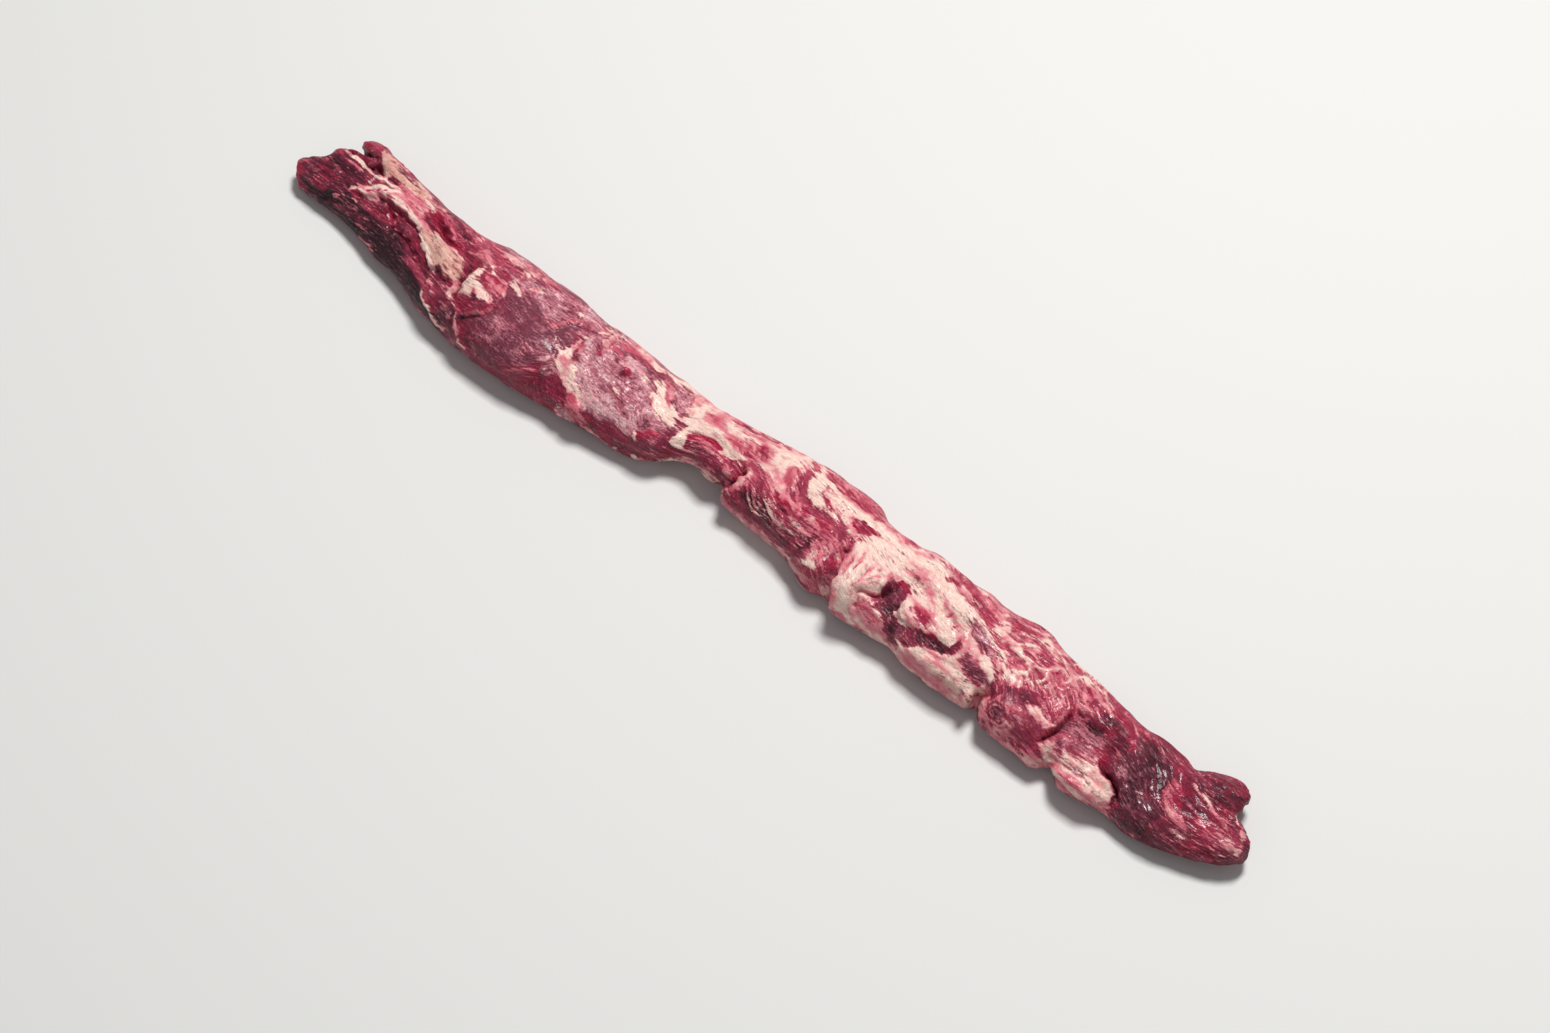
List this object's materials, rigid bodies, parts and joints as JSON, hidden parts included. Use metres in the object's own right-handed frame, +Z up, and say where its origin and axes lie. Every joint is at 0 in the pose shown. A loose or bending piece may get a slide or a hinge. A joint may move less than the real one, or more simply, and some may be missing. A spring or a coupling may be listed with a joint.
{
  "type": "raw beef chain steak",
  "caption": "Long narrow raw beef strip with marbled lean, pink fat folds, a taut silverskin bulge and torn ends, laid out flat.",
  "frame": {"origin": "middle of the underside, at the bottom centre of the overall box", "axes": "+X along the strip from the frayed head end to the notched tail end, +Y to the plain far side, +Z up"},
  "size_m": [0.5005, 0.0556, 0.0291],
  "materials": {
    "raw_beef": "moist gloss with matt fat"
  },
  "bodies": {
    "root": {"steak": "raw_beef"}
  },
  "joints": []
}
